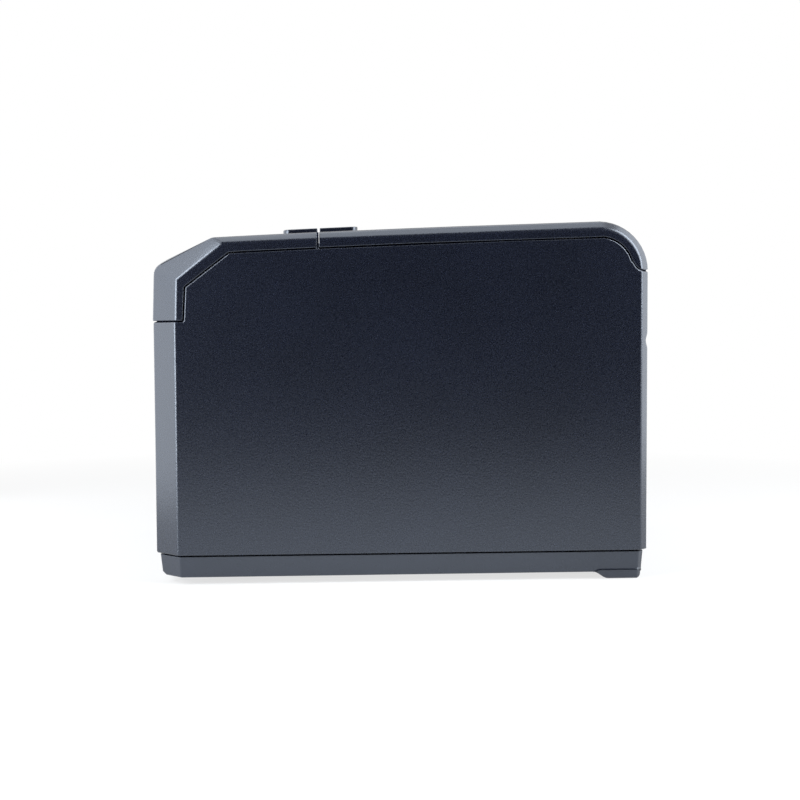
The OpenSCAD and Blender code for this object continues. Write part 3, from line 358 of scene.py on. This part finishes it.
def trim(node, name, material, body, slot, width=0.0, angle=32.0, segments=2):
    """A smoothed copy of a construction node, with its sharp edges eased by width metres."""
    piece = merged_copy(node, name)
    if width:
        ease_edges(piece, width, everywhere, segments)
    smoothed(piece, angle)
    fitted(piece, material, body, slot, node)


trim("front_feet", "front_rubber_feet", rubber, "case", "rubber", 0.0005)
trim("rear_pads", "rear_rubber_strips", rubber, "case", "rubber", 0.0002)
trim("case_screws", "case_screw_set", zinc, "case", "steel", 0.00012)

# Main board. Green solder mask over copper tracks, held on the tray's posts by four screws. Its
# chips, capacitors and connectors are one piece here, in one black finish.
def printed_board(name):
    """Solder mask that shows the tracks beneath it as lighter lines."""
    material = surface(name, (0.012, 0.085, 0.036), 0.28, grain=1500.0, relief=0.000004,
                       specular=0.6)
    tree = material.node_tree
    shader = tree.nodes[material["shader"]]
    place = tree.nodes.new("ShaderNodeTexCoord")
    tracks = tree.nodes.new("ShaderNodeTexBrick")
    tracks.inputs["Scale"].default_value = 160.0
    tracks.inputs["Mortar Size"].default_value = 0.1
    tracks.inputs["Mortar Smooth"].default_value = 0.2
    tracks.inputs["Color1"].default_value = (0.010, 0.070, 0.030, 1.0)
    tracks.inputs["Color2"].default_value = (0.016, 0.100, 0.044, 1.0)
    tracks.inputs["Mortar"].default_value = (0.040, 0.190, 0.085, 1.0)
    tree.links.new(place.outputs["Object"], tracks.inputs["Vector"])
    tree.links.new(tracks.outputs["Color"], shader.inputs["Base Color"])
    return material


board_green = printed_board("solder_mask")
package_black = surface("package_black", (0.016, 0.016, 0.017), 0.42, grain=1800.0, relief=0.00001)
trim("main_board", "main_circuit_board", board_green, "case", "board")
trim("board_components", "board_parts", package_black, "case", "socket_black", 0.0003)
trim("board_screws", "board_screw_set", zinc, "case", "steel", 0.00012)

# Sockets. Power inlet, square data socket, drawer socket and network socket stand on the board's
# rear edge, black mouldings and folded tin-plated shells; all but the inlet have gilt contacts.
tin = surface("tin_plate", (0.60, 0.61, 0.62), 0.24, grain=500.0, relief=0.000006,
              stretch=(1.0, 0.12, 1.0), metallic=1.0, mottle=0.05, cloud=90.0, gloss=0.08)
gilt = surface("gilt", (0.83, 0.58, 0.20), 0.22, grain=900.0, relief=0.000004, metallic=1.0,
               mottle=0.05)
trim("power_inlet", "power_inlet_socket", package_black, "case", "socket_black", 0.0003)
trim("usb_socket", "usb_socket_shell", tin, "case", "steel", 0.00025)
trim("network_socket", "network_socket_shell", tin, "case", "steel", 0.0003)
trim("drawer_socket", "drawer_socket_shell", package_black, "case", "socket_black", 0.0003)


def bar(low, high, ease, segments=2):
    """A small bar between two corners, with its edges rounded by ease, all in millimetres."""
    size = [(b - a) * MM for a, b in zip(low, high)]
    middle = [(a + b) * MM / 2 for a, b in zip(low, high)]
    bpy.ops.object.select_all(action="DESELECT")
    bpy.ops.mesh.primitive_cube_add(size=1.0, location=middle)
    piece = bpy.context.active_object
    piece.scale = size
    bpy.ops.object.transform_apply(location=True, rotation=True, scale=True)
    bpy.ops.object.mode_set(mode="EDIT")
    bpy.ops.mesh.select_all(action="SELECT")
    bpy.ops.mesh.bevel(offset=ease * MM, segments=segments)
    bpy.ops.object.mode_set(mode="OBJECT")
    return piece


def joined(pieces, name):
    """One object out of several."""
    bpy.ops.object.select_all(action="DESELECT")
    for piece in pieces:
        piece.select_set(True)
    bpy.context.view_layer.objects.active = pieces[0]
    if len(pieces) > 1:
        bpy.ops.object.join()
    pieces[0].name = name
    pieces[0].data.name = name
    return pieces[0]


def row(first, count, step):
    """Copies of a piece in a row, each with its own mesh; step is in millimetres."""
    pieces = [first]
    for number in range(1, count):
        piece = first.copy()
        piece.data = first.data.copy()
        bpy.context.scene.collection.objects.link(piece)
        piece.data.transform(Matrix.Translation(Vector(step) * MM * number))
        pieces.append(piece)
    return pieces


contact_pitch = 1.02
wire_inner_y, wire_outer_y = 84.0, 92.5
wire_half, wire_thickness, wire_lift = 0.2, 0.35, 2.2


def contact_row(name, middle_x, count, top, floor_z):
    """Gilt spring wires that lean up out of a modular socket's floor, in millimetres."""
    start = middle_x - contact_pitch * (count - 1) / 2
    foot = floor_z + wire_lift
    wire = bar((start - wire_half, wire_inner_y, foot),
               (start + wire_half, wire_outer_y, foot + wire_thickness), 0.08)
    for vertex in wire.data.vertices:
        rise = (wire_outer_y * MM - vertex.co.y) / ((wire_outer_y - wire_inner_y) * MM)
        vertex.co.z += rise * (top - foot) * MM
    piece = joined(row(wire, count, (contact_pitch, 0.0, 0.0)), name)
    smoothed(piece)
    fitted(piece, gilt, "case", "brass")


contact_row("network_contacts", 11.0, 8, 28.0, 23.1)
contact_row("drawer_contacts", 33.0, 6, 27.0, 22.9)
strip_half_width, strip_half_height = 0.5, 0.12
data_contacts = [bar((x - strip_half_width, 83.2, z - strip_half_height),
                     (x + strip_half_width, 89.2, z + strip_half_height), 0.05)
                 for x in (-13.25, -10.75) for z in (25.05, 28.35)]
usb_contacts = joined(data_contacts, "usb_contacts")
smoothed(usb_contacts)
fitted(usb_contacts, gilt, "case", "brass")

# Main housing. One moulding for both side panels and the rear wall; its front and top edges meet
# the cover and the lid along one seam, and every outer edge is eased, which catches the light.
case_heart = Vector((0.0, 0.005, 0.070))
skin_depth = 0.0012
outer_rounding = 0.0012
# The outline of the case in millimetres: corner chamfers, crown, front slope and rear roll.
chamfer_x, chamfer_y, chamfer_run, chamfer_rise = 63.5, -87.5, 9.0, 9.5
crown_end_y, crown_top, crown_slope, crown_round = 77, 140.89, 0.026, 11410
slope_foot_y, slope_foot_z, slope_rise = 93.9, 125.1, 0.4922
roll_y, roll_z, roll_inner = 77.5, 121.5, 18.2
crown_skin, slope_skin, chamfer_skin = 0.9, 1.6, 16.0
shoulder_x, shoulder_z = 69.0, 118


def on_shell(point):
    """True where a point lies on the outer face of the cap, the chamfers or the rim."""
    x, y, z = abs(point.x) / MM, point.y / MM, point.z / MM
    chamfer = (x - chamfer_x) * chamfer_rise + (chamfer_y - y) * chamfer_run
    if chamfer > -chamfer_skin and y < -80:
        return True
    back = crown_end_y - y
    crown = crown_top - crown_slope * back - back ** 2 / crown_round
    if -74 < y < 78 and z > crown - crown_skin:
        return True
    if y <= -60 and z > slope_foot_z + slope_rise * (y + slope_foot_y) - slope_skin:
        return True
    if x > shoulder_x and z > shoulder_z:
        return True
    return y > crown_end_y and math.hypot(y - roll_y, z - roll_z) > roll_inner


# Shares of the rounding where other edges lie too close for all of it, and the places in metres.
slit_share, hole_share, notch_share = 0.2, 0.13, 0.1
rim_top_share, rim_foot_share = 0.4, 0.2
slit_y, slit_half = -0.0322, 0.0012
rim_half, rim_from, rim_to, rim_low, rim_middle = 0.0512, -0.0500, -0.0160, 0.132, 0.1382
panel_rear, crown_from, crown_blend = -0.066, 0.126, 0.009


def skin_share(ridge, lip, crown_ridge):
    """Shares of rounding for a case shell: its ridges, its seam edges and its ridge at the top."""
    def share(ends, normals):
        for point in ends:
            outside = (abs(point.x) > cad_high.x - skin_depth or point.y < cad_low.y + skin_depth
                       or point.y > cad_high.y - skin_depth)
            if not outside and not on_shell(point):
                return 0.0
        middle = (ends[0] + ends[1]) / 2
        x, y, z = abs(middle.x), middle.y, middle.z
        if abs(y - slit_y) < slit_half and max(abs(normal.y) for normal in normals) > 0.9:
            return slit_share
        key_holes = x < 0.052 and y < panel_rear and (ends[0] - ends[1]).length < 0.002
        release_well = 0.0525 < middle.x < 0.0695 and -0.063 < y < -0.037
        if key_holes or release_well:
            return hole_share
        socket_openings = y > 0.09 and x < 0.05 and z < 0.045
        if socket_openings:
            return 0.0
        hinge_notches = y > 0.085 and 0.0592 < x < 0.0705 and 0.115 < z < 0.130
        if hinge_notches:
            return notch_share
        if min(normal.dot(middle - case_heart) for normal in normals) < 0.0:
            return lip
        if x < rim_half and z > rim_low and rim_from < y < rim_to:
            return rim_top_share if z > rim_middle else rim_foot_share
        if y < panel_rear:
            return ridge
        height = min(1.0, max(0.0, (z - crown_from) / crown_blend))
        return ridge + (crown_ridge - ridge) * height
    return share


def case_shell(node, name, body, share):
    """A case moulding with its outer edges rounded, each by its share."""
    piece = merged_copy(node, name)
    ease_edges(piece, outer_rounding, share, segments=4)
    smoothed(piece)
    fitted(piece, case_finish, body, "case_plastic", node)


case_shell("main_housing", "housing_shell", "case", skin_share(0.55, 0.55, 0.55))

# Power switch. A rocker in a black frame in the left side panel. A white line for on and a white
# ring for off stand on its two wings, which meet at a shallow angle.
mark_white = surface("mark_white", (0.62, 0.62, 0.60), 0.5, grain=1500.0, relief=0.00001)
trim("power_switch_body", "switch_frame", package_black, "case", "socket_black", 0.0003)
rocker_finish = surface("rocker_black", (0.012, 0.012, 0.013), 0.25, grain=1500.0, relief=0.000008)
trim("power_switch_rocker", "switch_rocker", rocker_finish, "rocker", "socket_black", 0.0004,
     segments=3)
rocker_pivot = Vector((-65.1, -61.5, 35.0))
rocker_turn = Euler((0.0, 0.0, math.radians(-8)))
wing_rise, wing_run = 1.6, 9.0
wing_x, wing_y = -3.4, 4.6
for mark, side in (("on", -1), ("off", 1)):
    lean = math.atan2(side * wing_rise, wing_run)
    bpy.ops.object.select_all(action="DESELECT")
    if mark == "on":
        piece = bar((-0.08, -0.35, -1.5), (0.08, 0.35, 1.5), 0.05)
    else:
        bpy.ops.mesh.primitive_torus_add(major_radius=1.3 * MM, minor_radius=0.24 * MM,
                                         major_segments=40, minor_segments=10,
                                         rotation=(0.0, math.radians(90), 0.0))
        piece = bpy.context.active_object
        piece.scale = (1.0, 1.0, 0.33)
        bpy.ops.object.transform_apply(location=True, rotation=True, scale=True)
        smoothed(piece)
    piece.name = "switch_mark_" + mark
    on_face = Vector((wing_x, side * wing_y, 0.0)) * MM
    piece.data.transform(Matrix.Rotation(lean, 4, "Z"))
    piece.data.transform(Matrix.Translation(on_face))
    piece.data.transform(Matrix.Translation(rocker_pivot * MM) @ rocker_turn.to_matrix().to_4x4())
    fitted(piece, mark_white, "rocker", "socket_black")

# Front cover. The faceted front moulding: front chamfer, sloped key panel and its half of the rim.
# Two ribs behind its rear edge narrow what can be seen through the gap to the lid to 0.15 mm.
case_shell("front_cover", "cover_shell", "case", skin_share(0.6, 0.3, 1.0))
rib_width, rib_front, rib_rear, rib_foot, rib_top = 1.8, -32.85, -31.85, 122.5, 136.75
gap_ribs = [bar((x, rib_front, rib_foot), (x + rib_width, rib_rear, rib_top), 0.25, 3)
            for x in (-72.0, 70.2)]
gap_rib_pair = joined(gap_ribs, "cover_gap_ribs")
smoothed(gap_rib_pair)
fitted(gap_rib_pair, case_finish, "case", "case_plastic")

# Mechanism frame. A folded zinc-plated channel with two side plates, screwed to four posts. The
# feed motor on its right plate drives the roller by way of a brass pinion and an acetal idler.
plated = surface("zinc_sheet", (0.55, 0.56, 0.58), 0.32, grain=420.0, relief=0.000008,
                 stretch=(0.1, 1.0, 1.0), metallic=1.0, mottle=0.07, cloud=60.0, gloss=0.09)
turned = surface("turned_steel", (0.58, 0.58, 0.59), 0.24, grain=900.0, relief=0.000006,
                 stretch=(1.0, 0.1, 0.1), metallic=1.0, mottle=0.05, cloud=90.0, gloss=0.07)
brass = surface("sintered_brass", (0.60, 0.42, 0.16), 0.36, grain=1900.0, relief=0.00001,
                metallic=1.0, mottle=0.08, cloud=120.0, gloss=0.08)
acetal = surface("acetal", (0.72, 0.71, 0.66), 0.38, grain=1300.0, relief=0.00001, mottle=0.03)
waxy = acetal.node_tree.nodes[acetal["shader"]]
waxy.inputs["Subsurface Weight"].default_value = 0.15
waxy.inputs["Subsurface Scale"].default_value = 0.001
trim("mechanism_frame", "mechanism_chassis", plated, "case", "steel", 0.0002)
trim("mechanism_screws", "mechanism_screw_set", zinc, "case", "steel", 0.00012)
trim("feed_motor", "feed_motor_can", turned, "case", "steel", 0.0002)
trim("idler_pin", "idler_axle", turned, "case", "steel", 0.00012)
trim("motor_pinion", "feed_motor_pinion", brass, "feed_rotor", "brass", angle=25.0)
trim("idler_gear", "idler_wheel", acetal, "idler", "gear_plastic", angle=25.0)

# Print head. A glazed ceramic strip with a brown heater line, bonded to a finned aluminium heat
# sink that three coil springs push towards the roller; an amber ribbon runs down to the board.
ceramic = surface("glazed_ceramic", (0.74, 0.70, 0.60), 0.16, grain=700.0, relief=0.000003,
                  specular=0.6, mottle=0.03, gloss=0.04)
aluminium = surface("extruded_aluminium", (0.70, 0.71, 0.73), 0.30, grain=520.0, relief=0.000008,
                    stretch=(0.06, 1.0, 1.0), metallic=1.0, mottle=0.04, cloud=70.0, gloss=0.08)
trim("thermal_head", "head_ceramic", ceramic, "print_head", "ceramic", 0.0001)
trim("head_heat_sink", "head_sink", aluminium, "print_head", "aluminium", 0.0002)
heater_brown = surface("heater_glaze", (0.10, 0.035, 0.018), 0.14, grain=1500.0, relief=0.000003,
                       specular=0.6)
bpy.ops.object.select_all(action="DESELECT")
bpy.ops.mesh.primitive_cylinder_add(vertices=24, radius=0.45 * MM, depth=80.0 * MM,
                                    location=(0.0, -31.39 * MM, 119.5 * MM),
                                    rotation=(0.0, math.radians(90), 0.0))
heater = bpy.context.active_object
heater.name = "head_heater_line"
heater.scale = (1.0, 0.4, 1.0)
bpy.ops.object.transform_apply(location=True, rotation=True, scale=True)
bpy.ops.object.mode_set(mode="EDIT")
bpy.ops.mesh.select_all(action="SELECT")
bpy.ops.mesh.bevel(offset=0.05 * MM, segments=2)
bpy.ops.object.mode_set(mode="OBJECT")
smoothed(heater)
fitted(heater, heater_brown, "print_head", "ceramic")
for spring, name, joint, travel, axis, fixed_end in (
        ("head_springs", "head_spring_coil", "head_float", 0.8 * MM,
         Vector((0, 1, 0)), Vector((0, -46 * MM, 0))),
        ("release_spring", "release_spring_coil", "release_press", 2.8 * MM,
         Vector((0, 0, 1)), Vector((0, 0, 119 * MM)))):
    coil = merged_copy(spring, name)
    smoothed(coil, 60.0)
    fitted(coil, turned, "case", "steel", spring)
    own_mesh(coil)


def ribbon_film(name):
    """Amber film over copper tracks that run along it."""
    material = surface(name, (0.42, 0.19, 0.035), 0.24, grain=1200.0, relief=0.000004,
                       specular=0.6)
    tree = material.node_tree
    place = tree.nodes.new("ShaderNodeTexCoord")
    tracks = tree.nodes.new("ShaderNodeTexWave")
    tracks.bands_direction = "X"
    tracks.inputs["Scale"].default_value = 300.0
    tone = tree.nodes.new("ShaderNodeValToRGB")
    tone.color_ramp.elements[0].position = 0.40
    tone.color_ramp.elements[1].position = 0.60
    tone.color_ramp.elements[0].color = (0.30, 0.11, 0.018, 1.0)
    tone.color_ramp.elements[1].color = (0.56, 0.27, 0.060, 1.0)
    tree.links.new(place.outputs["Object"], tracks.inputs["Vector"])
    tree.links.new(tracks.outputs["Fac"], tone.inputs["Fac"])
    tree.links.new(tone.outputs["Color"], tree.nodes[material["shader"]].inputs["Base Color"])
    return material


trim("head_ribbon", "head_ribbon_film", ribbon_film("polyimide_film"), "case", "ribbon")

# Cutter. A stamped frame guides the ground steel blade, whose rack is driven by an acetal wheel
# and a small motor with a brass pinion.
blade_steel = surface("ground_steel", (0.60, 0.61, 0.62), 0.20, grain=620.0, relief=0.000006,
                      stretch=(1.0, 0.05, 1.0), metallic=1.0, mottle=0.04, cloud=110.0, gloss=0.06)
trim("cutter_frame", "cutter_guide", plated, "case", "steel", 0.00015)
trim("cutter_motor", "cutter_motor_can", turned, "case", "steel", 0.0002)
trim("cutter_motor_pinion", "cutter_pinion", brass, "cutter_rotor", "brass", angle=25.0)
trim("cutter_drive_gear", "cutter_wheel", acetal, "blade_drive", "gear_plastic", angle=25.0)
trim("moving_blade", "sliding_blade", blade_steel, "blade", "steel", 0.00008)

# Release and latch. The black button runs in a guide in the cover and turns a shaft with two
# stamped hooks that hold the roller's bushings.
inner_finish = surface("inner_plastic", (0.013, 0.0135, 0.0155), 0.42, grain=1700.0, relief=0.00003)
trim("release_button", "release_key", inner_finish, "release", "inner_plastic", 0.0005, segments=3)
trim("latch_levers", "latch_hooks", plated, "latch", "steel", 0.00015)
trim("latch_shaft", "latch_rod", turned, "latch", "steel", 0.00012)

# Key panel. The feed key, three clear light pipes and the small board behind them, all in the
# slope of the front cover. The pipes are unlit and slightly hazy.
clear = bpy.data.materials.new("clear_acrylic")
tree = node_tree(clear)
smoothest, roughest = 0.10, 0.22
acrylic = tree.nodes.new("ShaderNodeBsdfPrincipled")
acrylic.inputs["Base Color"].default_value = (0.62, 0.68, 0.66, 1.0)
acrylic.inputs["IOR"].default_value = 1.49
acrylic.inputs["Transmission Weight"].default_value = 0.3
haze_place = tree.nodes.new("ShaderNodeTexCoord")
haze_noise = tree.nodes.new("ShaderNodeTexNoise")
haze_noise.inputs["Scale"].default_value = 900.0
haze = tree.nodes.new("ShaderNodeMapRange")
haze.inputs["To Min"].default_value = smoothest
haze.inputs["To Max"].default_value = roughest
tree.links.new(haze_place.outputs["Object"], haze_noise.inputs["Vector"])
tree.links.new(haze_noise.outputs["Fac"], haze.inputs["Value"])
tree.links.new(haze.outputs[0], acrylic.inputs["Roughness"])
tree.links.new(acrylic.outputs[0], tree.nodes.new("ShaderNodeOutputMaterial").inputs["Surface"])
trim("feed_button", "feed_key_cap", inner_finish, "feed_key", "inner_plastic", 0.0004, segments=3)
trim("status_light_pipes", "status_pipes", clear, "case", "light_pipe", 0.00025)
trim("panel_board", "panel_circuit_board", board_green, "case", "board")

# Paper bay. A half-round black tray for the roll, with a window in its cheek for the near-end
# lever, an optical sensor at the paper path and the switch that feels the lid.
trim("paper_bucket", "paper_bay", inner_finish, "case", "inner_plastic", 0.0004)
trim("near_end_lever", "near_end_feeler", acetal, "near_end", "gear_plastic", 0.0003)
trim("paper_end_sensor", "paper_sensor", package_black, "case", "socket_black", 0.0003)
trim("lid_switch", "lid_feeler_switch", package_black, "case", "socket_black", 0.0002)

# Lid. The navy outer moulding, a black inner frame fixed with two screws, and two hinge pins. It
# carries the rubber roller on brass bushings, the roller's gear and the fixed blade.
case_shell("paper_lid", "lid_shell", "lid", skin_share(0.6, 0.25, 1.0))
trim("lid_inner_frame", "lid_frame", inner_finish, "lid", "inner_plastic", 0.0003)
trim("lid_screws", "lid_screw_set", zinc, "lid", "steel", 0.00012)
trim("hinge_pins", "hinge_pin_pair", turned, "lid", "steel", 0.00012)
trim("platen_bushings", "roller_bushings", brass, "lid", "brass", 0.00015)
trim("fixed_blade", "fixed_cutter_blade", blade_steel, "lid", "steel", 0.00006)
ground_rubber = surface("ground_rubber", (0.017, 0.017, 0.018), 0.62, grain=1300.0, relief=0.00003,
                        stretch=(0.25, 1.0, 1.0), specular=0.35, mottle=0.15, gloss=0.1)
trim("platen_roller", "roller_rubber", ground_rubber, "platen", "rubber", 0.0003)
trim("platen_shaft", "roller_shaft", turned, "platen", "steel", 0.00015)
trim("platen_gear", "roller_gear", acetal, "platen", "gear_plastic", angle=25.0)
